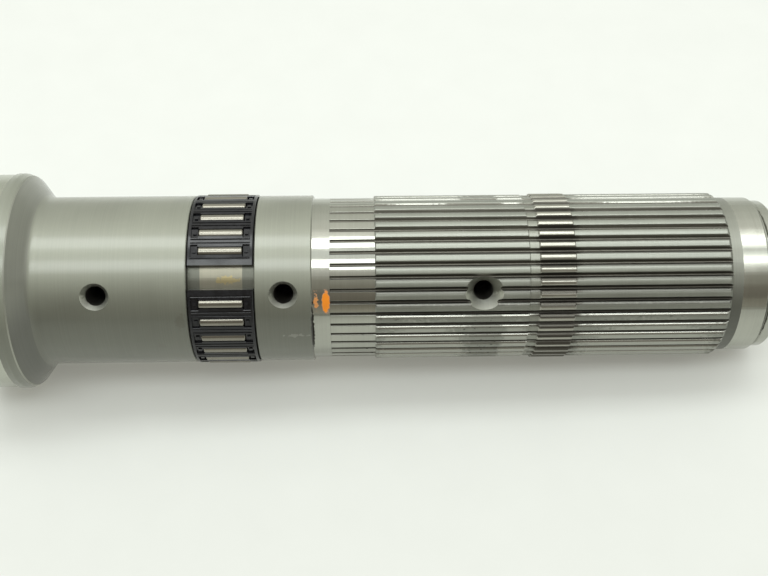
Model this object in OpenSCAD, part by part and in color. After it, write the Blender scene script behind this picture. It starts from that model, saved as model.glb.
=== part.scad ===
// Transmission main shaft that carries a split needle bearing.
// The shaft lies along X, from the end face of its large seat at X = 0 to its nose.
// The oil holes and the open joint of the bearing face minus Y, and Z is up.
// All sizes are in millimetres and all angles in degrees.

/* [Seat and collar] */
// Diameter of the bearing seat at the left end
seat_d = 70; // [66:0.1:75]
// Length of the bearing seat, from the end face to the rim
seat_len = 17; // [8:0.5:30]
// Chamfer round the end face of the seat
seat_chamfer = 1; // [0.4:0.1:2]
// Height of the rim above the seat
rim_step = 0.4; // [0.2:0.1:2]
// Width of the straight part of the rim
rim_w = 2; // [1:0.1:8]
// Length of the shallow bevel on the rim
rim_bevel_len = 2.2; // [1:0.1:4]
// Radial drop of the shallow bevel on the rim
rim_bevel_drop = 0.9; // [0.3:0.1:2]
// Angle between the shoulder cone and the shaft axis
shoulder_angle = 53; // [35:1:60]
// Fillet radius at the foot of the shoulder
shoulder_fillet = 4; // [2:0.1:6]

/* [Journals] */
// Diameter of the long journal beside the shoulder
journal_d = 55; // [51:0.1:60]
// Length of the long journal, from the foot of the shoulder to the bearing groove
journal_len = 47.9; // [34:0.1:70]
// Diameter of the land to the right of the bearing
land_d = 54.6; // [53:0.1:60]
// Length of the land
land_len = 17.7; // [14:0.1:30]
// Broken edge on the ground steps
edge_break = 0.3; // [0.1:0.05:0.4]

/* [Spline] */
// Number of teeth
teeth = 42; // [36:1:48]
// Module of the teeth
tooth_module = 1.25; // [1.15:0.01:1.4]
// Pressure angle of the flanks
pressure_angle = 30; // [25:1:35]
// Width of a tooth space on the pitch circle
space_w = 1.1; // [0.9:0.05:1.3]
// Height of the plain crests above the pitch circle
crest_rise = 0.7; // [0.5:0.05:0.9]
// Depth of the spaces below the pitch circle
root_depth = 0.45; // [0.3:0.05:0.6]
// Turn of the nearest tooth below the line of the oil holes
tooth_turn = 2; // [-4:0.1:4]
// Length of the toothed part
spline_len = 111.7; // [80:0.1:140]
// Bevel on the left ends of the teeth
tooth_bevel = 0.3; // [0.1:0.05:0.6]
// Bevel on the right ends of the teeth
tail_bevel = 0.9; // [0.4:0.1:1.1]
// Length of the polished ring between the land and the teeth
ring_len = 19.8; // [16:0.1:30]
// Depth of the polished ring below the plain crests
ring_drop = 0.65; // [0.5:0.05:0.9]
// Length of the slots that the tooth spaces leave in the ring
slot_len = 14.2; // [4:0.1:15]

/* [Raised band of the spline] */
// Distance from the start of the teeth to the raised band
band_pos = 51.2; // [44:0.1:60]
// Width of the raised band
band_w = 11.4; // [6:0.1:16]
// Height of the band above the plain crests
band_rise = 0.3; // [0.1:0.05:0.5]
// Bevel on both edges of the band
band_bevel = 0.4; // [0.1:0.05:0.8]
// Width of the relief groove to the left of the band
relief_w = 2.9; // [1:0.1:5]
// Depth of the relief groove below the plain crests
relief_depth = 0.25; // [0.1:0.05:0.5]

/* [Tail] */
// Diameter of the end journal
end_journal_d = 50.8; // [46:0.1:51]
// Length of the end journal, from the teeth to the nose
end_journal_len = 11.6; // [6:0.1:24]
// Diameter of the nose
nose_d = 48.6; // [44:0.1:49]
// Length of the nose
nose_len = 7.3; // [6:0.1:20]
// Length of the chamfer on the nose
nose_chamfer_len = 3.2; // [1:0.1:4]
// Radial drop of the chamfer on the nose
nose_chamfer_drop = 2.8; // [1:0.1:4]
// Width of the undercut between the nose and the end journal
undercut_w = 1; // [0.5:0.1:2]
// Depth of the undercut below the nose
undercut_depth = 0.5; // [0.2:0.1:1]

/* [Oil ways] */
// Diameter of the three radial oil holes
oil_hole_d = 6.2; // [4:0.1:7]
// Height of the oil holes above the horizontal, seen along the shaft
oil_hole_elev = 40; // [20:1:70]
// Distance from the foot of the shoulder to the journal hole
journal_hole_pos = 19.7; // [12:0.1:30]
// Distance from the left edge of the land to the land hole
land_hole_pos = 8.9; // [7:0.1:12]
// Distance from the start of the teeth to the spline hole
spline_hole_pos = 33.9; // [15:0.1:40]
// Diameter of the countersinks in the journal and the land
sink_d = 9; // [7:0.1:10]
// Diameter of the countersink across the tooth crests
spline_sink_d = 12; // [9:0.1:14]
// Included angle of the countersinks
sink_angle = 70; // [60:5:110]
// Diameter of the axial oil gallery
gallery_d = 10; // [8:0.1:16]
// Distance that the gallery runs on past the journal hole
gallery_past = 6; // [4:0.5:10]
// Chamfer on the mouth of the gallery
gallery_chamfer = 1.5; // [0.5:0.1:3]

/* [Needle bearing] */
// Width of the bearing groove in the shaft
groove_w = 20.8; // [18:0.1:26]
// Diameter of a needle roller
roller_d = 3.5; // [2.5:0.1:4]
// Length of a needle roller
roller_len = 13.8; // [10:0.1:15]
// Chamfer on the ends of a roller
roller_chamfer = 0.3; // [0.1:0.05:0.6]
// Height of the rollers above the long journal
roller_proud = 0.45; // [0.1:0.05:0.6]
// Number of rollers in each half of the bearing
rollers_per_half = 12; // [8:1:13]
// Angle left open between the two halves of the cage
joint_gap = 15.9; // [10:0.1:24]
// Height of the open joint above the horizontal, seen along the shaft
joint_elev = 51.9; // [20:0.1:80]
// Depth of the cage below the top of the rollers
cage_drop = 0.3; // [0.2:0.05:0.9]
// Width of the plain bar at each end of a cage half
end_bar_w = 2.65; // [1.5:0.05:4]
// Width of the thin rims on both sides of the cage
cage_rim_w = 0.9; // [0.6:0.05:1.5]
// Depth of the troughs that run on past the roller ends
trough_depth = 0.8; // [0.4:0.05:1.2]
// Width of the square pads in the troughs
pad_w = 1.1; // [0.6:0.1:1.5]
// Height of the pads above the trough floor
pad_rise = 0.45; // [0.2:0.05:0.7]
// Width of the lip between a roller pocket and the snap groove beside it
lip_w = 0.45; // [0.3:0.05:0.6]
// Width of a snap groove at its floor
snap_w = 0.35; // [0.2:0.05:0.5]
// Depth of the snap grooves
snap_depth = 0.4; // [0.2:0.05:0.6]
// Bevel along the cage bars and rims
cage_bevel = 0.2; // [0.1:0.05:0.4]

/* [Clearances] */
// Running gap between the rollers and the groove floor
roller_gap = 0.12; // [0.05:0.01:0.2]
// Gap between a roller and its pocket, on every side
pocket_gap = 0.2; // [0.1:0.05:0.3]
// Gap between the cage and the groove floor
cage_floor_gap = 0.25; // [0.15:0.05:0.4]
// Gap between the cage and each wall of the groove
cage_side_gap = 0.3; // [0.1:0.05:0.5]

/* [Hidden] */
HALVES = ["lower", "upper"];
$fn = 96;

// How far a cut runs past the surface that it opens
cut_over = 0.5;

// Radii along the shaft
seat_r = seat_d / 2;
rim_r = seat_r + rim_step;
bevel_r = rim_r - rim_bevel_drop;
journal_r = journal_d / 2;
land_r = land_d / 2;
pitch_r = tooth_module * teeth / 2;
base_r = pitch_r * cos(pressure_angle);
root_r = pitch_r - root_depth;
crest_r = pitch_r + crest_rise;
ring_r = crest_r - ring_drop;
relief_r = crest_r - relief_depth;
band_r = crest_r + band_rise;
cut_r = band_r + cut_over;
end_journal_r = end_journal_d / 2;
nose_r = nose_d / 2;

// Radii of the bearing, worked inwards from the top of the rollers
running_r = journal_r + roller_proud;
roller_ring_r = running_r - roller_d / 2;
floor_r = running_r - roller_d - roller_gap;
cage_r = running_r - cage_drop;
cage_bore_r = floor_r + cage_floor_gap;
trough_r = cage_r - trough_depth;

// Stations along the shaft, from the seat end
x_rim = seat_len;
x_bevel = x_rim + rim_w;
x_shoulder = x_bevel + rim_bevel_len;
x_foot = x_shoulder + (bevel_r - journal_r) / tan(shoulder_angle);
x_groove = x_foot + journal_len;
x_land = x_groove + groove_w;
x_ring = x_land + land_len;
x_teeth = x_ring + ring_len;
x_slots = x_teeth - slot_len;
x_band = x_teeth + band_pos;
x_relief = x_band - relief_w;
x_band_end = x_band + band_w;
x_tail = x_teeth + spline_len;
x_nose = x_tail + end_journal_len;
x_end = x_nose + nose_len;
x_journal_hole = x_foot + journal_hole_pos;
x_gallery = x_journal_hole - gallery_past;

// Cage pockets, spread evenly between the two end bars of a half
cage_w = groove_w - 2 * cage_side_gap;
half_span = 180 - joint_gap;
trough_len = cage_w - 2 * cage_rim_w;
pocket_w = roller_d + 2 * pocket_gap;
pocket_len = roller_len + 2 * pocket_gap;
end_margin = asin((end_bar_w + pocket_w / 2) / cage_r);
roller_step = (half_span - 2 * end_margin) / (rollers_per_half - 1);

// Polar angles about the shaft, counted in the section seen from the nose
hole_angle = 180 - oil_hole_elev;
joint_angle = 180 - joint_elev;

function half_start(half) = joint_angle + joint_gap / 2 + (half == "upper" ? 180 : 0);
function roller_angle(half, i) = half_start(half) + end_margin + (i - 1) * roller_step;
function roller_name(half, i) = str("needle_roller_", half, "_", i < 10 ? "0" : "", i);

// Turns a solid built along Z so that it lies along X
module along_axis() rotate([90, 0, 90]) children();

// Turned outline of the shaft as [radius, station], in four stretches
collar_outline = [
    [0, 0],
    [seat_r - seat_chamfer, 0],
    [seat_r, seat_chamfer],
    [seat_r, x_rim],
    [rim_r, x_rim],
    [rim_r, x_bevel],
    [bevel_r, x_shoulder],
    [journal_r, x_foot]
];

bearing_outline = [
    [journal_r, x_groove - edge_break],
    [journal_r - edge_break, x_groove],
    [floor_r, x_groove],
    [floor_r, x_land],
    [land_r - edge_break, x_land],
    [land_r, x_land + edge_break],
    [land_r, x_ring - edge_break],
    [land_r - edge_break, x_ring],
    [ring_r, x_ring]
];

spline_outline = [
    [ring_r, x_teeth],
    [crest_r - tooth_bevel, x_teeth],
    [crest_r, x_teeth + tooth_bevel],
    [crest_r, x_relief - relief_depth],
    [relief_r, x_relief],
    [relief_r, x_band],
    [band_r - band_bevel, x_band],
    [band_r, x_band + band_bevel],
    [band_r, x_band_end - band_rise],
    [crest_r, x_band_end],
    [crest_r, x_tail - tail_bevel],
    [crest_r - tail_bevel, x_tail]
];

tail_outline = [
    [end_journal_r, x_tail],
    [end_journal_r, x_nose - edge_break],
    [end_journal_r - edge_break, x_nose],
    [nose_r - undercut_depth, x_nose],
    [nose_r - undercut_depth, x_nose + undercut_w],
    [nose_r, x_nose + undercut_w + undercut_depth],
    [nose_r, x_end - nose_chamfer_len],
    [nose_r - nose_chamfer_drop, x_end],
    [0, x_end]
];

// Arc that blends the shoulder cone into the long journal
module shoulder_blend() {
    tangent = shoulder_fillet * tan(shoulder_angle / 2);
    centre = [journal_r + shoulder_fillet, x_foot + tangent];
    on_cone = [journal_r + tangent * sin(shoulder_angle), x_foot - tangent * cos(shoulder_angle)];
    on_journal = [journal_r, x_foot + tangent];
    inside = [journal_r - tangent, x_foot];
    difference() {
        polygon([inside, on_cone, centre, on_journal]);
        translate(centre) circle(r = shoulder_fillet);
    }
}

module shaft_blank() {
    rotate_extrude() {
        polygon(concat(collar_outline, bearing_outline, spline_outline, tail_outline));
        shoulder_blend();
    }
}

// Involute of an angle, in degrees
function involute(angle) = tan(angle) * 180 / PI - angle;

// Half of the angle that a tooth space takes up at a radius
function half_space(r) =
    space_w / (2 * pitch_r) * 180 / PI + involute(acos(base_r / r)) - involute(pressure_angle);

flank_steps = 3;
flank_radii = [for (k = [0 : flank_steps]) root_r + (cut_r - root_r) * k / flank_steps];

// Section of one tooth space, up one involute flank and down the other
module space_section() {
    polygon(concat(
        [for (r = flank_radii) r * [cos(half_space(r)), sin(half_space(r))]],
        [for (k = [flank_steps : -1 : 0])
            flank_radii[k] * [cos(half_space(flank_radii[k])), -sin(half_space(flank_radii[k]))]]
    ));
}

// Every tooth space in one piece with its slot in the ring
module tooth_spaces() {
    for (i = [0 : teeth - 1])
        rotate([0, 0, hole_angle + tooth_turn + (i + 0.5) * 360 / teeth])
            translate([0, 0, x_slots])
                linear_extrude(x_tail + cut_over - x_slots) space_section();
}

// Radial oil hole with its countersink
module oil_hole(station, surface_r, rim_d) {
    sink_slope = tan(sink_angle / 2);
    sink_depth = (rim_d - oil_hole_d) / 2 / sink_slope;
    translate([0, 0, station]) rotate([0, 0, hole_angle]) rotate([0, 90, 0]) {
        cylinder(d = oil_hole_d, h = surface_r);
        translate([0, 0, surface_r - sink_depth])
            cylinder(
                d1 = oil_hole_d,
                d2 = rim_d + 2 * cut_over * sink_slope,
                h = sink_depth + cut_over
            );
    }
}

// Axial gallery, drilled from the nose, with its drill point and chamfered mouth
module oil_gallery() {
    drill_point = gallery_d / 2 / tan(59);
    mouth_d = gallery_d + 2 * gallery_chamfer;
    translate([0, 0, x_gallery]) cylinder(d = gallery_d, h = x_end + cut_over - x_gallery);
    translate([0, 0, x_gallery - drill_point]) cylinder(d1 = 0, d2 = gallery_d, h = drill_point);
    translate([0, 0, x_end - gallery_chamfer])
        cylinder(d1 = gallery_d, d2 = mouth_d + 2 * cut_over, h = gallery_chamfer + cut_over);
}

module main_shaft() {
    color([0.60, 0.61, 0.57])
        along_axis() difference() {
            shaft_blank();
            tooth_spaces();
            oil_hole(x_journal_hole, journal_r, sink_d);
            oil_hole(x_land + land_hole_pos, land_r, sink_d);
            oil_hole(x_teeth + spline_hole_pos, crest_r, spline_sink_d);
            oil_gallery();
        }
}

// Section of the cage ring with bevelled outer edges, as [radius, station in the groove]
module cage_section() {
    polygon([
        [cage_bore_r, cage_side_gap],
        [cage_r - cage_bevel, cage_side_gap],
        [cage_r, cage_side_gap + cage_bevel],
        [cage_r, groove_w - cage_side_gap - cage_bevel],
        [cage_r - cage_bevel, groove_w - cage_side_gap],
        [cage_bore_r, groove_w - cage_side_gap]
    ]);
}

// Round pocket that holds one roller, with its troughs and the snap groove on either side
module cage_pocket() {
    translate([roller_ring_r, 0, (groove_w - pocket_len) / 2])
        cylinder(d = pocket_w, h = pocket_len);
    pocket_troughs();
    for (side = [-1, 1])
        translate([0, side * (pocket_w / 2 + lip_w + snap_w / 2), (groove_w - trough_len) / 2])
            linear_extrude(trough_len) trough_section(cage_r - snap_depth, snap_w);
}

// Section of a groove in the cage with bevelled edges
module trough_section(bottom_r, width) {
    half_w = width / 2;
    polygon([
        [bottom_r, -half_w],
        [cage_r - cage_bevel, -half_w],
        [cage_r + cage_bevel, -half_w - 2 * cage_bevel],
        [cage_r + cage_bevel, half_w + 2 * cage_bevel],
        [cage_r - cage_bevel, half_w],
        [bottom_r, half_w]
    ]);
}

// Troughs that run on from both roller ends, each round a square pad
module pocket_troughs() {
    end_len = (trough_len - roller_len) / 2;
    for (side = [-1, 1])
        translate([0, 0, groove_w / 2 + side * (roller_len + end_len) / 2 - end_len / 2])
            difference() {
                linear_extrude(end_len) trough_section(trough_r, pocket_w);
                translate([trough_r - cut_over, -pad_w / 2, (end_len - pad_w) / 2])
                    cube([pad_rise + cut_over, pad_w, pad_w]);
            }
}

// One half of the moulded cage, open at both joints
module cage_half(half) {
    color([0.09, 0.09, 0.10])
        along_axis() translate([0, 0, x_groove]) difference() {
            rotate([0, 0, half_start(half)]) rotate_extrude(angle = half_span) cage_section();
            for (i = [1 : rollers_per_half])
                rotate([0, 0, roller_angle(half, i)]) cage_pocket();
        }
}

// One needle roller in its pocket, with chamfered ends
module needle_roller(half, i) {
    roller_r = roller_d / 2;
    color([0.80, 0.78, 0.74])
        along_axis()
            rotate([0, 0, roller_angle(half, i)])
                translate([roller_ring_r, 0, x_groove + (groove_w - roller_len) / 2])
                    rotate_extrude()
                        polygon([
                            [0, 0],
                            [roller_r - roller_chamfer, 0],
                            [roller_r, roller_chamfer],
                            [roller_r, roller_len - roller_chamfer],
                            [roller_r - roller_chamfer, roller_len],
                            [0, roller_len]
                        ]);
}

main_shaft();
for (half = HALVES)
    cage_half(half);
for (half = HALVES)
    for (i = [1 : rollers_per_half])
        needle_roller(half, i);
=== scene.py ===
import math

import bmesh
import bpy
import numpy as np
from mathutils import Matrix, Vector


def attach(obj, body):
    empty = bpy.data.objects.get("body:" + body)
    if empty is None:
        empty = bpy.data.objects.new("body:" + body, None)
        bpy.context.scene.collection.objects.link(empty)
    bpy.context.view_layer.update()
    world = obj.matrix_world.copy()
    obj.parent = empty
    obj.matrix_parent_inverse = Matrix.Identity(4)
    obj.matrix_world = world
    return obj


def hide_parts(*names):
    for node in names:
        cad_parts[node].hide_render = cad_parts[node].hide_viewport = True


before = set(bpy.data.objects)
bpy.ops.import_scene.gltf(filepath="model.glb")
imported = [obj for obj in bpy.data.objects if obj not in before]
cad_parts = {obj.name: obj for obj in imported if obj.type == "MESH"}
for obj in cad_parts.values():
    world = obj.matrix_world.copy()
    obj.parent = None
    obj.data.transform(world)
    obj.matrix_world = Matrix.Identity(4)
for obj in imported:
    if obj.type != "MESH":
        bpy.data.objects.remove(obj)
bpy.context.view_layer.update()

# Main shaft: one bar of case-hardened steel, turned between centres, hobbed with forty-two fine teeth
# and then ground on its journals. A gallery bored from the nose and three cross holes carry the oil.
# Sizes are in mm: stations run along the axis from the seat's end face, and radii are from the axis.
MM = 0.001
SEAT_R = 35.0
SEAT_BEVEL = 1.0
RIM_X = 17.0
RIM_END_X = 19.0
RIM_R = 35.4
RIDGE_X = 20.95
RIDGE_R = 34.6
SHOULDER_X = 21.35
SHOULDER_R = 34.3
FOOT_X = 26.475
JOURNAL_R = 27.5
GROOVE_X = 74.375
GROOVE_R = 24.33
TRACK_INSET = 3.8
LAND_X = 95.175
LAND_R = 27.3
RING_X = 112.875
RING_R = 26.3
SLOTS_X = 118.475
SLOT_STEP = 0.025
TEETH_X = 132.675
CREST_R = 26.95
RELIEF_X = 180.975
RELIEF_DEPTH = 0.25
BAND_X = 183.875
BAND_END_X = 195.275
BAND_R = 27.25
BAND_BEVEL = 0.4
TAIL_X = 244.375
TAIL_BEVEL = 0.9
TAIL_R = 25.4
POLISH_X = 247.9
NOSE_X = 255.975
NECK_LEN = 1.0
NECK_R = 23.8
NOSE_R = 24.3
NOSE_TAPER = 3.2
END_X = 263.275
END_R = 21.5
GALLERY_R = 5.0
GALLERY_BEVEL = 1.5
GALLERY_END_X = 40.175
GALLERY_TIP_X = 37.17
BEVEL = 0.3

# Each oil hole's station, the radius of the surface it starts from, and its countersink's radius there
OIL_HOLES = [(46.175, JOURNAL_R, 4.5), (104.075, LAND_R, 4.5), (166.575, CREST_R, 6.0)]

# Station, radius, corner rounding, whether the teeth are cut there, and the finish of the stretch after it.
# A plain row on either side of each oil hole keeps the faces round it short.
TURNED_OUTLINE = [
    (0.0, 0.0, 0.0, 0, "end_face"),
    (0.0, SEAT_R - SEAT_BEVEL, 0.2, 0, "seat"),
    (SEAT_BEVEL, SEAT_R, 0.4, 0, "seat"),
    (RIM_X, SEAT_R, 0.15, 0, "collar"),
    (RIM_X, RIM_R, 0.12, 0, "collar"),
    (RIM_END_X, RIM_R, 0.8, 0, "collar"),
    (RIDGE_X, RIDGE_R, 0.25, 0, "ridge"),
    (SHOULDER_X, SHOULDER_R, 0.25, 0, "shoulder"),
    (FOOT_X, JOURNAL_R, 4.0, 0, "journal"),
    (40.5, JOURNAL_R, 0.0, 0, "journal"),
    (52.0, JOURNAL_R, 0.0, 0, "journal"),
    (GROOVE_X - BEVEL, JOURNAL_R, 0.15, 0, "journal"),
    (GROOVE_X, JOURNAL_R - BEVEL, 0.12, 0, "groove"),
    (GROOVE_X, GROOVE_R, 0.3, 0, "groove"),
    (GROOVE_X + TRACK_INSET, GROOVE_R, 0.0, 0, "track"),
    (LAND_X - TRACK_INSET, GROOVE_R, 0.0, 0, "groove"),
    (LAND_X, GROOVE_R, 0.3, 0, "groove"),
    (LAND_X, LAND_R - BEVEL, 0.12, 0, "land"),
    (LAND_X + BEVEL, LAND_R, 0.15, 0, "land"),
    (98.6, LAND_R, 0.0, 0, "land"),
    (109.6, LAND_R, 0.0, 0, "land"),
    (RING_X - BEVEL, LAND_R, 0.15, 0, "land"),
    (RING_X, LAND_R - BEVEL, 0.12, 0, "land"),
    (RING_X, RING_R, 0.15, 0, "ring"),
    (SLOTS_X, RING_R, 0.0, 0, "space"),
    (SLOTS_X + SLOT_STEP, RING_R, 0.0, 1, "ring"),
    (TEETH_X, RING_R, 0.12, 1, "crest"),
    (TEETH_X, CREST_R - BEVEL, 0.1, 1, "crest"),
    (TEETH_X + BEVEL, CREST_R, 0.15, 1, "crest"),
    (159.5, CREST_R, 0.0, 1, "crest"),
    (173.6, CREST_R, 0.0, 1, "crest"),
    (RELIEF_X - RELIEF_DEPTH, CREST_R, 0.15, 1, "relief"),
    (RELIEF_X, CREST_R - RELIEF_DEPTH, 0.15, 1, "relief"),
    (BAND_X, CREST_R - RELIEF_DEPTH, 0.1, 1, "band"),
    (BAND_X, BAND_R - BAND_BEVEL, 0.05, 1, "band"),
    (BAND_X + BAND_BEVEL, BAND_R, 0.2, 1, "band"),
    (BAND_END_X - BEVEL, BAND_R, 0.2, 1, "band"),
    (BAND_END_X, CREST_R, 0.15, 1, "crest"),
    (TAIL_X - TAIL_BEVEL, CREST_R, 0.3, 1, "crest"),
    (TAIL_X, CREST_R - TAIL_BEVEL, 0.1, 1, "strip"),
    (TAIL_X, TAIL_R, 0.2, 0, "strip"),
    (POLISH_X, TAIL_R, 0.0, 0, "polish"),
    (NOSE_X - BEVEL, TAIL_R, 0.15, 0, "polish"),
    (NOSE_X, TAIL_R - BEVEL, 0.1, 0, "strip"),
    (NOSE_X, NECK_R, 0.2, 0, "strip"),
    (NOSE_X + NECK_LEN, NECK_R, 0.2, 0, "polish"),
    (NOSE_X + NECK_LEN + NOSE_R - NECK_R, NOSE_R, 0.15, 0, "polish"),
    (END_X - NOSE_TAPER, NOSE_R, 0.5, 0, "polish"),
    (END_X, END_R, 0.4, 0, "end_face"),
    (END_X, GALLERY_R + GALLERY_BEVEL, 0.15, 0, "strip"),
    (END_X - GALLERY_BEVEL, GALLERY_R, 0.3, 0, "bore"),
    (GALLERY_END_X, GALLERY_R, 0.5, 0, "bore"),
    (GALLERY_TIP_X, 0.0, 0.0, 0, "bore"),
]


def round_corners(corners, rounding, steps=4):
    """Turns each corner p into the curve (1-s)^2 a + 2 s (1-s) p + s^2 b, where a and b lie r tan(turn / 2)
    before and after it, at most 0.45 of the shorter side. Returns the points and each one's corner."""
    back = corners - np.roll(corners, 1, axis=0)
    ahead = np.roll(corners, -1, axis=0) - corners
    back_len = np.linalg.norm(back, axis=1)
    ahead_len = np.linalg.norm(ahead, axis=1)
    back = back / back_len[:, None]
    ahead = ahead / ahead_len[:, None]
    turn = np.arccos(np.clip((back * ahead).sum(1), -1, 1))
    reach = rounding * np.tan(np.minimum(turn, 3.0) / 2)
    reach = np.minimum(reach, 0.45 * np.minimum(back_len, ahead_len))
    reach[[0, -1]] = 0
    before = corners - reach[:, None] * back
    after = corners + reach[:, None] * ahead
    s = np.linspace(0, 1, steps)[None, :, None]
    curve = (1 - s) ** 2 * before[:, None] + 2 * s * (1 - s) * corners[:, None] + s ** 2 * after[:, None]
    points = curve.reshape(-1, 2)
    source = np.repeat(np.arange(len(corners)), steps)
    fresh = np.r_[True, np.linalg.norm(np.diff(points, axis=0), axis=1) > 1e-6]
    return points[fresh], source[fresh]


TEETH = 42
PITCH_R = 26.25
ROOT_R = 25.8
PRESSURE_ANGLE = math.radians(30)
SPACE_W = 1.1
FOOT_RISE = 0.12
ROOT_INSET = 0.1
LEAST_FLANK = 0.01
FLANK_LOW_R = 26.06
FLANK_HIGH_R = 27.3
HOLE_ANGLE = math.radians(140)
TOOTH_TURN = math.radians(2)


def half_space(r):
    """Half of a tooth space as an angle: half the space on the pitch circle, plus the involute tan a - a of
    the flank there less that of the pitch circle."""
    a = np.arccos(PITCH_R * math.cos(PRESSURE_ANGLE) / r)
    return SPACE_W / (2 * PITCH_R) + np.tan(a) - a - math.tan(PRESSURE_ANGLE) + PRESSURE_ANGLE


def tooth_side(turned_r, edge, wear):
    """One side of a tooth in five columns: root corner, flank foot, mid flank, flank top and crest edge.
    Gives each column's angle from the space centre, which is half_space at its radius, and that radius.
    The edge is broken by its own size, and wear moves it further on to the crest."""
    foot_r = ROOT_R + FOOT_RISE
    crest_r = np.clip(turned_r, FLANK_LOW_R, FLANK_HIGH_R)
    edge_r = np.maximum(crest_r - edge, foot_r + LEAST_FLANK)
    top_r = np.maximum(turned_r - edge, foot_r + LEAST_FLANK)
    flat = np.ones_like(turned_r)
    turn = np.stack([
        (half_space(ROOT_R) - ROOT_INSET / ROOT_R) * flat,
        half_space(foot_r) * flat,
        half_space((foot_r + edge_r) / 2),
        half_space(edge_r),
        half_space(crest_r) + (edge + wear) / crest_r], axis=1)
    radius = np.stack([ROOT_R * flat, foot_r * flat, (foot_r + top_r) / 2, top_r, turned_r], axis=1)
    return turn, radius


SLOT_EDGE = 0.05
SLOT_TOP_R = 26.4
CREST_EDGE = 0.16
BAND_EDGE = 0.26
BAND_LEAST_R = 27.1
DRIVE_EDGE = 0.06
DRIVE_WEAR = 0.15
WORN_LEAST_R = 26.6


def tooth_rings(stations, turned_r, toothed):
    """Rings of points (x, r cos a, r sin a) round the shaft. Each tooth has twelve columns: space centre,
    drive side, tooth centre and coast side. A toothed row follows the space up to its turned radius, and a
    plain row keeps that radius all round. Ring slots have the sharpest edges, and drive sides are worn."""
    half_pitch = math.pi / TEETH
    edge = np.where(turned_r > BAND_LEAST_R, BAND_EDGE, CREST_EDGE)
    edge = np.where(turned_r < SLOT_TOP_R, SLOT_EDGE, edge)
    worn = turned_r > WORN_LEAST_R
    drive_turn, drive_r = tooth_side(turned_r, edge + DRIVE_EDGE * worn, DRIVE_WEAR * worn)
    coast_turn, coast_r = tooth_side(turned_r, edge, 0.0)
    flat = np.ones((len(stations), 1))
    turn = np.concatenate([
        0 * flat, drive_turn, half_pitch * flat, 2 * half_pitch - coast_turn[:, ::-1]], axis=1)
    cut_r = np.concatenate([ROOT_R * flat, drive_r, turned_r[:, None], coast_r[:, ::-1]], axis=1)
    radius = np.tile(np.where(toothed[:, None], cut_r, turned_r[:, None]), (1, TEETH))
    centres = HOLE_ANGLE + TOOTH_TURN + (np.arange(TEETH) + 0.5) * 2 * half_pitch
    angle = (centres[None, :, None] + turn[:, None, :]).reshape(len(stations), -1)
    x = np.broadcast_to(stations[:, None], angle.shape)
    return np.stack([x, radius * np.cos(angle), radius * np.sin(angle)], axis=2)


def closed_skin(rings, first_pole, last_pole):
    """Joins point (i, j) of the rings to its neighbours (i, j + 1), (i + 1, j + 1) and (i + 1, j) by a quad
    that faces outwards, and closes both ends with a fan round a pole."""
    rows, columns = rings.shape[:2]
    index = np.arange(rows * columns).reshape(rows, columns)
    beside = np.roll(index, -1, axis=1)
    quads = np.stack([index[:-1], beside[:-1], beside[1:], index[1:]], axis=2).reshape(-1, 4)
    pole = rows * columns
    first_fan = np.stack([np.full(columns, pole), beside[0], index[0]], axis=1)
    last_fan = np.stack([np.full(columns, pole + 1), index[-1], beside[-1]], axis=1)
    points = np.concatenate([rings.reshape(-1, 3), [first_pole, last_pole]])
    return points, quads.tolist() + first_fan.tolist() + last_fan.tolist()


def make_piece(name, points_mm, faces, materials, finish=None):
    """Puts points in mm and their faces into a new object at the origin, with a finish number per face."""
    mesh = bpy.data.meshes.new(name)
    mesh.from_pydata((np.asarray(points_mm) * MM).tolist(), [], faces)
    for material in materials:
        mesh.materials.append(material)
    if finish is not None:
        mesh.polygons.foreach_set("material_index", np.asarray(finish, np.int32))
    piece = bpy.data.objects.new(name, mesh)
    bpy.context.scene.collection.objects.link(piece)
    return piece


def smooth_faces(piece, sharp_deg=40):
    """Shades a piece smooth except over edges that turn more than an angle, and lets its larger faces set the
    normals."""
    mesh = piece.data
    mesh.polygons.foreach_set("use_smooth", np.ones(len(mesh.polygons), bool))
    mesh.set_sharp_from_angle(angle=math.radians(sharp_deg))
    mesh.update()
    weighted = piece.modifiers.new("face_weighted", "WEIGHTED_NORMAL")
    weighted.keep_sharp = True


def put(tree, kind, inputs, **settings):
    """Adds a shader node, sets its options, and fills its inputs with values or with links from other
    sockets."""
    node = tree.nodes.new("ShaderNode" + kind)
    for name, value in settings.items():
        setattr(node, name, value)
    for key, value in inputs.items():
        if isinstance(value, bpy.types.NodeSocket):
            tree.links.new(value, node.inputs[key])
        else:
            node.inputs[key].default_value = value
    return node


def calc(tree, operation, *values):
    """One step of arithmetic on sockets and numbers."""
    return put(tree, "Math", dict(enumerate(values)), operation=operation).outputs[0]


def tint(tree, share, under, over, how="MIX"):
    """Mixes one colour by a share with another laid over it, or for MULTIPLY with the product of the two. The
    node's colour sockets are inputs 6 and 7 and output 2."""
    colours = {0: share, 6: under, 7: over}
    return put(tree, "Mix", colours, data_type="RGBA", blend_type=how, clamp_factor=True).outputs[2]


def stretch(tree, value, low, high, to_low, to_high):
    """Maps a value from one range onto another by 3 t^2 - 2 t^3, where t is its share of the first range, and
    holds it at the ends."""
    inputs = {0: value, 1: low, 2: high, 3: to_low, 4: to_high}
    return put(tree, "MapRange", inputs, interpolation_type="SMOOTHSTEP").outputs[0]


def cloud(tree, where, waves, detail=3.0):
    """Noise from 0 to 1, with its own number of waves per metre along each axis."""
    scaled = put(tree, "Mapping", {"Vector": where, "Scale": waves}, vector_type="POINT")
    return put(tree, "TexNoise", {"Vector": scaled.outputs[0], "Scale": 1.0, "Detail": detail}).outputs[0]


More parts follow.
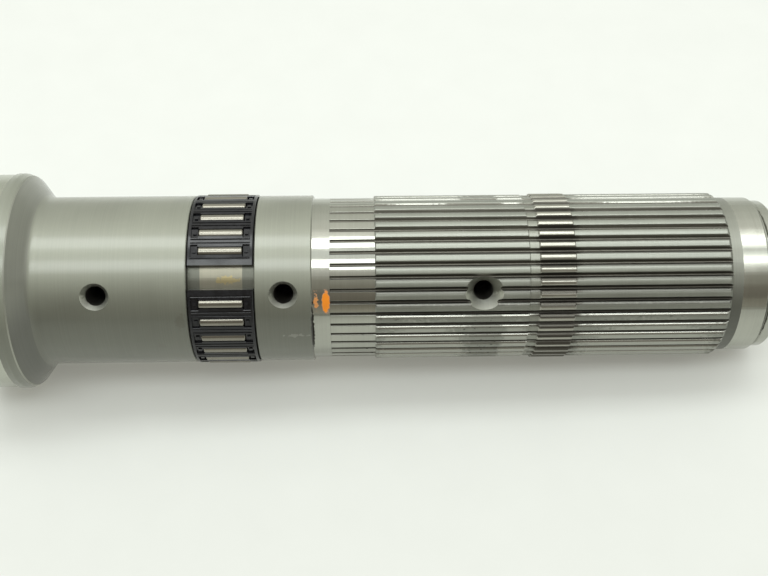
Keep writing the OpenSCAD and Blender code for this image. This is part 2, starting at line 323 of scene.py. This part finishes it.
def new_finish(name):
    """An empty node material, with its tree, its shader and its Object coordinates."""
    material = bpy.data.materials.new(name)
    material.use_nodes = True
    tree = material.node_tree
    where = put(tree, "TexCoord", {}).outputs["Object"]
    return material, tree, tree.nodes["Principled BSDF"], where


def covered(tree, station, elevation, rag, oval):
    """The share of a mark at a point. An oval is the station and elevation of its middle, its half length in
    mm, its half turn in degrees, its raggedness and its strength. The distance is the root of the two squared
    offsets, each over its half size, plus noise. The share rises from 0 at 1.15 to the strength at 0.8."""
    middle_x, middle_turn, half_len, half_turn, ragged, strength = oval
    along = calc(tree, "DIVIDE", calc(tree, "SUBTRACT", station, middle_x), half_len)
    around = calc(tree, "DIVIDE", calc(tree, "SUBTRACT", elevation, middle_turn), half_turn)
    squares = calc(tree, "ADD", calc(tree, "POWER", along, 2.0), calc(tree, "POWER", around, 2.0))
    far = calc(tree, "ADD", calc(tree, "SQRT", squares), calc(tree, "MULTIPLY", rag, ragged))
    return stretch(tree, far, 1.15, 0.8, 0.0, strength)


GRINDING_WAVES = (4200, 14, 14)
FILM_WAVES = (55, 55, 55)
GRIT_WAVES = (650, 1500, 1500)
RAG_WAVES = (900, 900, 900)
GRIT_BLACK = (0.015, 0.014, 0.011, 1)
# Heights between which a painted shade darkens the underside of the steel
SHADE_LOW_Z = 0.010
SHADE_TOP_Z = 0.025
GRIT_LOW_Z = 0.004
GRIT_TOP_Z = 0.016
OIL_ROUGH = 0.19
OIL_IOR = 1.5


def steel(name, colour, rough, oil=0.0, underside_shade=0.0, grit=0.0, bump=0.06, paint=(), marks=()):
    """Bare steel that was ground or turned: its colour times fine lines that run round the shaft and a broad
    unevenness, under a clear film of oil. A painted shade darkens the underside by a share, and grit specks
    stick there. Each spot of paint and each mark is the six numbers of an oval, its colour and roughness."""
    material, tree, shader, where = new_finish(name)
    place = put(tree, "SeparateXYZ", {0: where}).outputs
    lines = cloud(tree, where, GRINDING_WAVES)
    film = cloud(tree, where, FILM_WAVES)
    shade = stretch(tree, lines, 0.3, 0.7, 0.97, 1.03)
    shade = calc(tree, "MULTIPLY", shade, stretch(tree, film, 0.3, 0.7, 0.94, 1.06))
    # Painted shade: the colour darkens by a share towards the underside of the shaft
    shade = calc(tree, "MULTIPLY", shade, stretch(tree, place[2], SHADE_LOW_Z, SHADE_TOP_Z, 1 - underside_shade, 1.0))
    grey = put(tree, "CombineColor", {0: shade, 1: shade, 2: shade}).outputs[0]
    base = tint(tree, 1.0, (*colour, 1), grey, "MULTIPLY")
    gloss = stretch(tree, film, 0.3, 0.7, rough - 0.03, rough + 0.03)
    if grit:
        specks = stretch(tree, cloud(tree, where, GRIT_WAVES, 2.0), 0.64, 0.70, 0.0, grit)
        specks = calc(tree, "MULTIPLY", specks, stretch(tree, place[2], GRIT_LOW_Z, GRIT_TOP_Z, 1.0, 0.0))
        base = tint(tree, specks, base, GRIT_BLACK)
    if paint or marks:
        station = calc(tree, "MULTIPLY", place[0], 1 / MM)
        toward_front = calc(tree, "MULTIPLY", place[1], -1)
        elevation = calc(tree, "MULTIPLY", calc(tree, "ARCTAN2", place[2], toward_front), 180 / math.pi)
        rag = calc(tree, "SUBTRACT", cloud(tree, where, RAG_WAVES, 4.0), 0.5)
    bare = 1.0
    for number, (*oval, mark_colour, mark_rough) in enumerate([*paint, *marks]):
        share = covered(tree, station, elevation, rag, oval)
        base = tint(tree, share, base, (*mark_colour, 1))
        gloss = stretch(tree, share, 0.0, 1.0, gloss, mark_rough)
        if number < len(paint):
            bare = calc(tree, "MULTIPLY", bare, calc(tree, "SUBTRACT", 1.0, share))
    if paint:
        tree.links.new(bare, shader.inputs["Metallic"])
    else:
        shader.inputs["Metallic"].default_value = 1.0
    ridges = put(tree, "Bump", {"Strength": bump, "Distance": 0.00002, "Height": lines})
    tree.links.new(base, shader.inputs["Base Color"])
    tree.links.new(calc(tree, "MAXIMUM", gloss, 0.03), shader.inputs["Roughness"])
    tree.links.new(ridges.outputs[0], shader.inputs["Normal"])
    shader.inputs["Coat Weight"].default_value = oil
    shader.inputs["Coat Roughness"].default_value = OIL_ROUGH
    shader.inputs["Coat IOR"].default_value = OIL_IOR
    return material


GROUND = (0.272, 0.280, 0.230)
BRIGHT = (0.38, 0.385, 0.34)
WEAR_AND_SHEEN = (0.35, 0.35, 0.315)
BLACK_DIRT = (0.02, 0.018, 0.014)
DARK_OIL = (0.075, 0.07, 0.06)
WORN_STRETCHES = [(147.0, 14.5), (176.9, 4.6), (220.0, 23.0)]
BAND_MIDDLE = 190.0
BAND_OIL_HALF = 6.8
ALL_ROUND = 2000.0
ALL_ALONG = 2000.0
oily_band = (BAND_MIDDLE, 0.0, BAND_OIL_HALF, ALL_ROUND, 0.8, 0.9)
shaft_finishes = {
    "end_face": steel("turned_end_face", (0.40, 0.41, 0.35), 0.4),
    "seat": steel("ground_seat_steel", (0.44, 0.45, 0.39), 0.2),
    "collar": steel("turned_collar_steel", (0.275, 0.285, 0.235), 0.66, oil=1.0, underside_shade=0.2),
    "shoulder": steel("turned_shoulder_steel", (0.26, 0.265, 0.225), 0.66, oil=1.0, underside_shade=0.42),
    "journal": steel("ground_journal_steel", GROUND, 0.66, oil=1.0, underside_shade=0.36, marks=[
        (72.2, 22.0, 1.6, 5.0, 2.2, 0.35, (0.10, 0.09, 0.07), 0.4),
        (65.0, 1.0, 1.2, 2.0, 2.2, 0.35, (0.12, 0.11, 0.09), 0.4)]),
    "groove": steel("ground_groove_steel", (0.136, 0.139, 0.118), 0.4),
    "track": steel("burnished_roller_track", (0.243, 0.233, 0.186), 0.34, marks=[
        (86.8, 49.8, 3.2, 2.6, 3.0, 0.5, (0.42, 0.33, 0.13), 0.3)]),
    "land": steel("ground_land_steel", GROUND, 0.66, oil=1.0, underside_shade=0.36, marks=[
        (107.5, 9.5, 3.4, 1.2, 4.0, 0.22, (0.50, 0.49, 0.45), 0.4),
        (112.75, 13.0, 0.25, 18.0, 1.8, 0.9, BLACK_DIRT, 0.6)]),
    "ring": steel("polished_ring_steel", BRIGHT, 0.08, paint=[
        (117.2, 34.2, 1.25, 7.8, 0.9, 1.0, (0.72, 0.22, 0.012), 0.35),
        (114.1, 34.0, 0.6, 6.0, 3.0, 0.8, (0.66, 0.23, 0.02), 0.35)], marks=[
        (112.95, 13.0, 0.5, 18.0, 2.6, 0.95, BLACK_DIRT, 0.6)]),
    # Crests: lighter patches of wear over the worn stretches, kept to the underside, where they are also a
    # painted highlight
    "crest": steel("ground_tooth_crests", (0.275, 0.284, 0.247), 0.55, oil=0.6, underside_shade=0.1, grit=0.8, marks=[
        (x, -12.0, half_len, 32.0, 0.8, 0.8, (0.37, 0.375, 0.33), 0.45) for x, half_len in WORN_STRETCHES]),
    "relief": steel("turned_relief_groove", (0.255, 0.26, 0.222), 0.55, oil=0.6),
    "band": steel("polished_band_crests", (0.35, 0.345, 0.30), 0.3),
    # Tooth spaces: their dark colour is oil together with a painted shade of the recesses
    "space": steel("oily_shaded_tooth_spaces", (0.10, 0.095, 0.08), 0.4, underside_shade=0.6, marks=[
        (*oily_band, (0.06, 0.056, 0.048), 0.4)]),
    "drive_flank": steel("worn_drive_flanks", (0.20, 0.20, 0.175), 0.4, grit=0.8, marks=[
        *((x, 0.0, half_len, ALL_ROUND, 0.8, 0.9, WEAR_AND_SHEEN, 0.25) for x, half_len in WORN_STRETCHES),
        # A painted shade along the whole drive flank, round the height that faces the viewer
        (BAND_MIDDLE, 52.0, ALL_ALONG, 24.0, 0.3, 0.9, (0.13, 0.13, 0.115), 0.5),
        (*oily_band, DARK_OIL, 0.4)]),
    # Coast flanks: wear over the worn stretches, kept to the top rows, where it is also a painted highlight
    "coast_flank": steel("hobbed_coast_flanks", (0.14, 0.136, 0.116), 0.4, underside_shade=0.4, marks=[
        *((x, 125.0, half_len, 16.0, 0.8, 0.9, WEAR_AND_SHEEN, 0.25) for x, half_len in WORN_STRETCHES),
        (*oily_band, DARK_OIL, 0.4)]),
    "ridge": steel("worn_collar_ridge", (0.34, 0.345, 0.30), 0.45),
    "strip": steel("unground_tail_strip", (0.268, 0.273, 0.235), 0.6, oil=0.4, underside_shade=0.5),
    "polish": steel("polished_tail_steel", BRIGHT, 0.19),
    # Countersinks: a painted shade on the upper part of each
    "sink": steel("satin_countersinks", (0.50, 0.505, 0.45), 0.42, marks=[
        (x, 46.0, sink_r + 1.0, 9.0, 0.6, 0.9, (0.16, 0.16, 0.135), 0.5) for x, _, sink_r in OIL_HOLES]),
    "bore": steel("dark_oil_bore", (0.20, 0.19, 0.17), 0.45),
}
FINISHES = list(shaft_finishes)

corner_table = np.array([row[:4] for row in TURNED_OUTLINE])
outline, corner = round_corners(corner_table[:, :2], corner_table[:, 2])
toothed = corner_table[corner, 3] > 0.5
rings = tooth_rings(outline[1:-1, 0], outline[1:-1, 1], toothed[1:-1])
shaft_points, shaft_faces = closed_skin(rings, [0, 0, 0], [GALLERY_TIP_X, 0, 0])

# The first step of a rounded corner still has the finish of the stretch before it
finish_of = np.array([FINISHES.index(row[4]) for row in TURNED_OUTLINE])
corner = corner[1:-1]
step_in_corner = np.arange(len(corner)) - np.searchsorted(corner, corner)
early = (step_in_corner[:-1] == 0) & (corner[:-1] == corner[1:])
strip_finish = finish_of[corner[:-1] - early]

# Spaces and flanks have finishes of their own, and the columns over a crest have that of the stretch
strip_toothed = toothed[1:-2] & toothed[2:-1]
across_tooth = ["space"] * 3 + ["drive_flank"] * 2 + ["crest"] * 3 + ["coast_flank"] + ["space"] * 3
in_space = np.tile([name != "crest" for name in across_tooth], TEETH)
space_finish = np.tile([FINISHES.index(name) for name in across_tooth], TEETH)
grid_finish = np.where(strip_toothed[:, None] & in_space, space_finish, strip_finish[:, None])
face_finish = np.concatenate([
    grid_finish.ravel(),
    np.full(rings.shape[1], FINISHES.index("end_face")),
    np.full(rings.shape[1], FINISHES.index("bore"))])
finish_list = list(shaft_finishes.values())
shaft = make_piece("splined_shaft", shaft_points, shaft_faces, finish_list, face_finish)


def revolve(profile, sides, rounding):
    """Carries an (along, radius) profile with rounded corners round its axis, as (along, r cos a, r sin a) at
    evenly spaced angles."""
    points, _ = round_corners(np.array(profile, float), np.array(rounding, float))
    angle = np.arange(sides) * 2 * math.pi / sides
    inner = points[1:-1]
    along = np.broadcast_to(inner[:, :1], (len(inner), sides))
    rings = np.stack([along, inner[:, 1:] * np.cos(angle), inner[:, 1:] * np.sin(angle)], axis=2)
    return closed_skin(rings, [points[0, 0], 0, 0], [points[-1, 0], 0, 0])


# The oil holes are drilled square to the axis, into the gallery, and countersunk
HOLE_R = 3.1
SINK_SLOPE = math.tan(math.radians(35))
DRILL_TIP_R = 2.0
DRILL_PAST = 0.8
DRILL_SIDES = 72
SINK_FOOT_ROUND = 0.35
SINK_MARGIN = 0.1
radial = Vector((0, math.cos(HOLE_ANGLE), math.sin(HOLE_ANGLE)))
hole_turn = np.array([radial, Vector((1, 0, 0)).cross(radial), (1, 0, 0)], float)
for station, surface_r, sink_r in OIL_HOLES:
    sink_foot = surface_r - (sink_r - HOLE_R) / SINK_SLOPE
    drill_top = surface_r + DRILL_PAST
    drill_profile = [(DRILL_TIP_R, 0), (DRILL_TIP_R, HOLE_R), (sink_foot, HOLE_R),
                     (drill_top, sink_r + DRILL_PAST * SINK_SLOPE), (drill_top, 0)]
    drill_points, drill_faces = revolve(drill_profile, DRILL_SIDES, [0, 0, SINK_FOOT_ROUND, 0, 0])
    drill_points = drill_points @ hole_turn + np.array([station, 0, 0])
    face_r = np.array([drill_points[face].mean(0) for face in drill_faces]) @ np.array(radial)
    in_countersink = face_r > sink_foot - SINK_MARGIN
    drill_finish = np.where(in_countersink, FINISHES.index("sink"), FINISHES.index("bore"))
    drill = make_piece("oil_drill", drill_points, drill_faces, finish_list, drill_finish)
    cut = shaft.modifiers.new("oil_hole", "BOOLEAN")
    cut.operation = "DIFFERENCE"
    cut.solver = "EXACT"
    cut.object = drill
    graph = bpy.context.evaluated_depsgraph_get()
    drilled = bpy.data.meshes.new_from_object(shaft.evaluated_get(graph))
    shaft.modifiers.remove(cut)
    shaft.data = drilled
    bpy.data.objects.remove(drill)
smooth_faces(shaft)

# Their rims are crisp: an edge with the countersink on one side only is sharp
drilled = shaft.data
loop_edge = np.empty(len(drilled.loops), np.int32)
drilled.loops.foreach_get("edge_index", loop_edge)
face_slot = np.empty(len(drilled.polygons), np.int32)
drilled.polygons.foreach_get("material_index", face_slot)
face_size = np.empty(len(drilled.polygons), np.int32)
drilled.polygons.foreach_get("loop_total", face_size)
in_sink = np.repeat(face_slot == FINISHES.index("sink"), face_size)
sharp = np.empty(len(drilled.edges), bool)
drilled.attributes["sharp_edge"].data.foreach_get("value", sharp)
sharp |= np.bincount(loop_edge, in_sink, len(sharp)) == 1
drilled.attributes["sharp_edge"].data.foreach_set("value", sharp)
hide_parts("main_shaft")
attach(shaft, "shaft")

# Cage halves: two black glass-filled nylon mouldings laid round the groove, with a window for each roller.
# Each is a merged copy of its solid with every moulded edge slightly rounded.
CAGE_EDGE = 0.1
MOTTLE_WAVES = (700, 700, 700)
SMEAR_WAVES = (160, 160, 160)
NYLON_DARK = (0.004, 0.004, 0.005, 1)
NYLON_PALE = (0.010, 0.010, 0.012, 1)
cage_black, tree, shader, where = new_finish("oily_black_nylon")
mottle = cloud(tree, where, MOTTLE_WAVES, 5.0)
smear = cloud(tree, where, SMEAR_WAVES)
nylon = tint(tree, stretch(tree, mottle, 0.35, 0.65, 0.0, 1.0), NYLON_DARK, NYLON_PALE)
grain = put(tree, "Bump", {"Strength": 0.2, "Distance": 0.00003, "Height": mottle})
tree.links.new(nylon, shader.inputs["Base Color"])
tree.links.new(stretch(tree, smear, 0.35, 0.65, 0.10, 0.24), shader.inputs["Roughness"])
tree.links.new(grain.outputs[0], shader.inputs["Normal"])
shader.inputs["Specular IOR Level"].default_value = 0.4


def merged_copy(node, piece_name, material):
    """A new object with a node's triangles, its points merged where they agree to a tenth of a micron, and
    its faces made whole again where they turn less than half a degree."""
    source = node.data
    points = np.empty(len(source.vertices) * 3)
    source.vertices.foreach_get("co", points)
    points, index = np.unique(np.round(points.reshape(-1, 3), 7), axis=0, return_inverse=True)
    corners = np.empty(len(source.loops), np.int32)
    source.loops.foreach_get("vertex_index", corners)
    triangles = index.reshape(-1)[corners].reshape(-1, 3)
    whole = (np.diff(np.sort(triangles, axis=1), axis=1) > 0).all(1)
    piece = make_piece(piece_name, points / MM, triangles[whole].tolist(), [material])
    solid = bmesh.new()
    solid.from_mesh(piece.data)
    bmesh.ops.dissolve_limit(solid, angle_limit=math.radians(0.5), verts=solid.verts, edges=solid.edges)
    solid.to_mesh(piece.data)
    solid.free()
    return piece


for half in ("lower", "upper"):
    cage = merged_copy(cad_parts["cage_half_" + half], "split_cage_" + half, cage_black)
    edges = cage.modifiers.new("moulded_edges", "BEVEL")
    edges.width = CAGE_EDGE * MM
    edges.segments = 2
    edges.limit_method = "ANGLE"
    edges.angle_limit = math.radians(25)
    smooth_faces(cage, 30)
    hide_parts("cage_half_" + half)
    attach(cage, "cage_" + half)

# Needle rollers: hardened and polished steel pins with rounded ends, twelve in each half of the cage.
# Each turns in its own window, so each is a piece of its own. The two open joints of the cage are opposite
# each other, and the windows are spaced evenly between the bars that close its halves.
ROLLER_R = 1.75
ROLLER_HALF = 6.9
ROLLER_END_R = 1.4
ROLLER_CHAMFER = 0.3
ROLLER_SIDES = 48
ROLLER_PROUD = 0.45
PER_HALF = 12
OPEN_JOINT = 15.9
JOINT_ELEVATION = 51.9
END_BAR = 2.65
WINDOW_W = 3.9
CAGE_R = 27.65
bearing_x = (GROOVE_X + LAND_X) / 2
roller_ring_r = JOURNAL_R + ROLLER_PROUD - ROLLER_R
end_turn = math.degrees(math.asin((END_BAR + WINDOW_W / 2) / CAGE_R))
roller_step = (180 - OPEN_JOINT - 2 * end_turn) / (PER_HALF - 1)
first_turn = 180 - JOINT_ELEVATION + OPEN_JOINT / 2 + end_turn
roller_bright = steel("bright_needle_rollers", (0.235, 0.223, 0.19), 0.25, bump=0.05)
roller_profile = [
    (-ROLLER_HALF, 0), (-ROLLER_HALF, ROLLER_END_R), (ROLLER_CHAMFER - ROLLER_HALF, ROLLER_R),
    (ROLLER_HALF - ROLLER_CHAMFER, ROLLER_R), (ROLLER_HALF, ROLLER_END_R), (ROLLER_HALF, 0)]
roller_points, roller_faces = revolve(roller_profile, ROLLER_SIDES, [0, 0.3, 0.5, 0.5, 0.3, 0])
for half, half_turn in (("lower", 0), ("upper", 180)):
    for i in range(PER_HALF):
        polar = math.radians(first_turn + half_turn + i * roller_step)
        seat = np.array([bearing_x, roller_ring_r * math.cos(polar), roller_ring_r * math.sin(polar)])
        name = "%s_%02d" % (half, i + 1)
        roller = make_piece("bright_roller_" + name, roller_points + seat, roller_faces, [roller_bright])
        smooth_faces(roller)
        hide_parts("needle_roller_" + name)
        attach(roller, "needle_roller_" + name)

# Floor: a plain pale sheet. The shaft lies on its collar and on the right end of its teeth, so in the
# shaft's own frame the sheet rises a little towards the nose. A painted shade darkens it far out towards
# the viewer, and a painted glow, strongest near the shaft, lifts the shadow there.
SHEET_PALE = (0.48, 0.49, 0.475, 1)
SHEET_DULL = (0.45, 0.46, 0.445, 1)
SHEET_FAR_SHADE = (0.2, 0.2, 0.18, 1)
SHEET_WAVES = (60, 60, 60)
GLOW_TINT = (1.0, 1.0, 0.88, 1)
GLOW_NEAR = 0.20
GLOW_FAR = 0.08
floor_rise = (RIM_R - CREST_R) / (TAIL_X - TAIL_BEVEL - RIM_END_X)
floor_x = np.array([-2.0, 2.3, 2.3, -2.0])
floor_y = np.array([-2.0, -2.0, 2.0, 2.0])
floor_z = floor_rise * (floor_x - RIM_END_X * MM) - RIM_R * MM
floor_mesh = bpy.data.meshes.new("pale_floor")
floor_mesh.from_pydata(np.stack([floor_x, floor_y, floor_z], axis=1).tolist(), [], [(0, 1, 2, 3)])
floor = bpy.data.objects.new("pale_floor", floor_mesh)
bpy.context.scene.collection.objects.link(floor)
sheet_white, tree, shader, where = new_finish("pale_sheet")
speckle = cloud(tree, where, SHEET_WAVES, 4.0)
# Painted shade far out towards the viewer; the same share turns the painted glow down there
far_front_shade = stretch(tree, put(tree, "SeparateXYZ", {0: where}).outputs[1], -0.75, 0.1, 1.0, 0.0)
sheet = tint(tree, speckle, SHEET_DULL, SHEET_PALE)
tree.links.new(tint(tree, far_front_shade, sheet, SHEET_FAR_SHADE), shader.inputs["Base Color"])
tree.links.new(stretch(tree, far_front_shade, 0.0, 1.0, GLOW_NEAR, GLOW_FAR), shader.inputs["Emission Strength"])
shader.inputs["Emission Color"].default_value = GLOW_TINT
shader.inputs["Roughness"].default_value = 0.75
floor_mesh.materials.append(sheet_white)

# Light: two long soft panels hung over the shaft and along it, one a little towards the viewer and one just
# past the vertical. Their power goes with their area, so both glow alike.
CENTRE_X = 0.1284
PANEL_LEN = 1.5
PANEL_FAR = 1.2
PANEL_SHIFT = 0.12
PANEL_GLOW = 4.0
PANEL_TINT = (0.95, 1.0, 0.99)
for name, height_deg, width in (("front_panel", 69.5, 0.29), ("top_panel", 101.5, 0.34)):
    panel = bpy.data.lights.new(name, "AREA")
    panel.shape = "RECTANGLE"
    panel.size = PANEL_LEN
    panel.size_y = width
    panel.energy = PANEL_GLOW * math.pi * PANEL_LEN * width
    panel.color = PANEL_TINT
    height = math.radians(height_deg)
    lamp = bpy.data.objects.new(name, panel)
    lamp.location = (CENTRE_X - PANEL_SHIFT, -PANEL_FAR * math.cos(height), PANEL_FAR * math.sin(height))
    lamp.rotation_euler = (math.pi / 2 - height, 0, 0)
    bpy.context.scene.collection.objects.link(lamp)

# Room: pale walls and ceiling, darker towards the viewer and towards both ends of the shaft. Each shade
# stands at its height, from 0 at the viewer's side over the top to 1 at the far side.
ROOM_SHADES = [
    (0.0, (0.52, 0.50, 0.43)),
    (0.045, (0.36, 0.34, 0.28)),
    (0.10, (0.24, 0.22, 0.185)),
    (0.17, (0.32, 0.295, 0.25)),
    (0.215, (0.40, 0.385, 0.33)),
    (0.27, (0.56, 0.55, 0.49)),
    (0.32, (0.82, 0.81, 0.76)),
    (0.345, (1.25, 1.26, 1.20)),
    (0.47, (1.40, 1.45, 1.41)),
    (0.63, (1.55, 1.55, 1.47)),
    (0.70, (1.15, 1.16, 1.08)),
    (0.79, (1.03, 1.05, 0.97)),
    (0.89, (0.86, 0.88, 0.80)),
    (1.0, (0.75, 0.78, 0.70)),
]
END_SHADE = (0.7, 0.7, 0.7, 1)
room = bpy.data.worlds.new("pale_room")
room.use_nodes = True
tree = room.node_tree
toward = put(tree, "SeparateXYZ", {0: put(tree, "TexCoord", {}).outputs["Generated"]}).outputs
wall_turn = calc(tree, "ARCTAN2", toward[2], calc(tree, "MULTIPLY", toward[1], -1))
walls = put(tree, "ValToRGB", {0: calc(tree, "DIVIDE", calc(tree, "ABSOLUTE", wall_turn), math.pi)})
shades = walls.color_ramp.elements
while len(shades) < len(ROOM_SHADES):
    shades.new(0.5)
for element, (wall_place, wall_shade) in zip(shades, ROOM_SHADES):
    element.position = wall_place
    element.color = (*wall_shade, 1)
aside = stretch(tree, calc(tree, "ABSOLUTE", toward[0]), 0.45, 0.7, 0.0, 1.0)
wall_colour = tint(tree, aside, walls.outputs[0], END_SHADE, "MULTIPLY")
tree.links.new(wall_colour, tree.nodes["Background"].inputs["Color"])
bpy.context.scene.world = room
bpy.context.scene.view_settings.view_transform = "Standard"

# Camera: it looks steeply down on the shaft from the side of the oil holes, as the photograph does,
# so the shaft lies across the picture and the seat's end is cut off on the left.
lens = bpy.data.cameras.new("photo_view")
lens.lens = 49.82
lens.sensor_width = 36.0
lens.clip_start = 0.01
viewer = bpy.data.objects.new("photo_view", lens)
viewer.location = (CENTRE_X, -0.2224, 0.2766)
viewer.rotation_euler = (math.radians(38.2126), math.radians(-0.5597), math.radians(-1.2342))
bpy.context.scene.collection.objects.link(viewer)
bpy.context.scene.camera = viewer
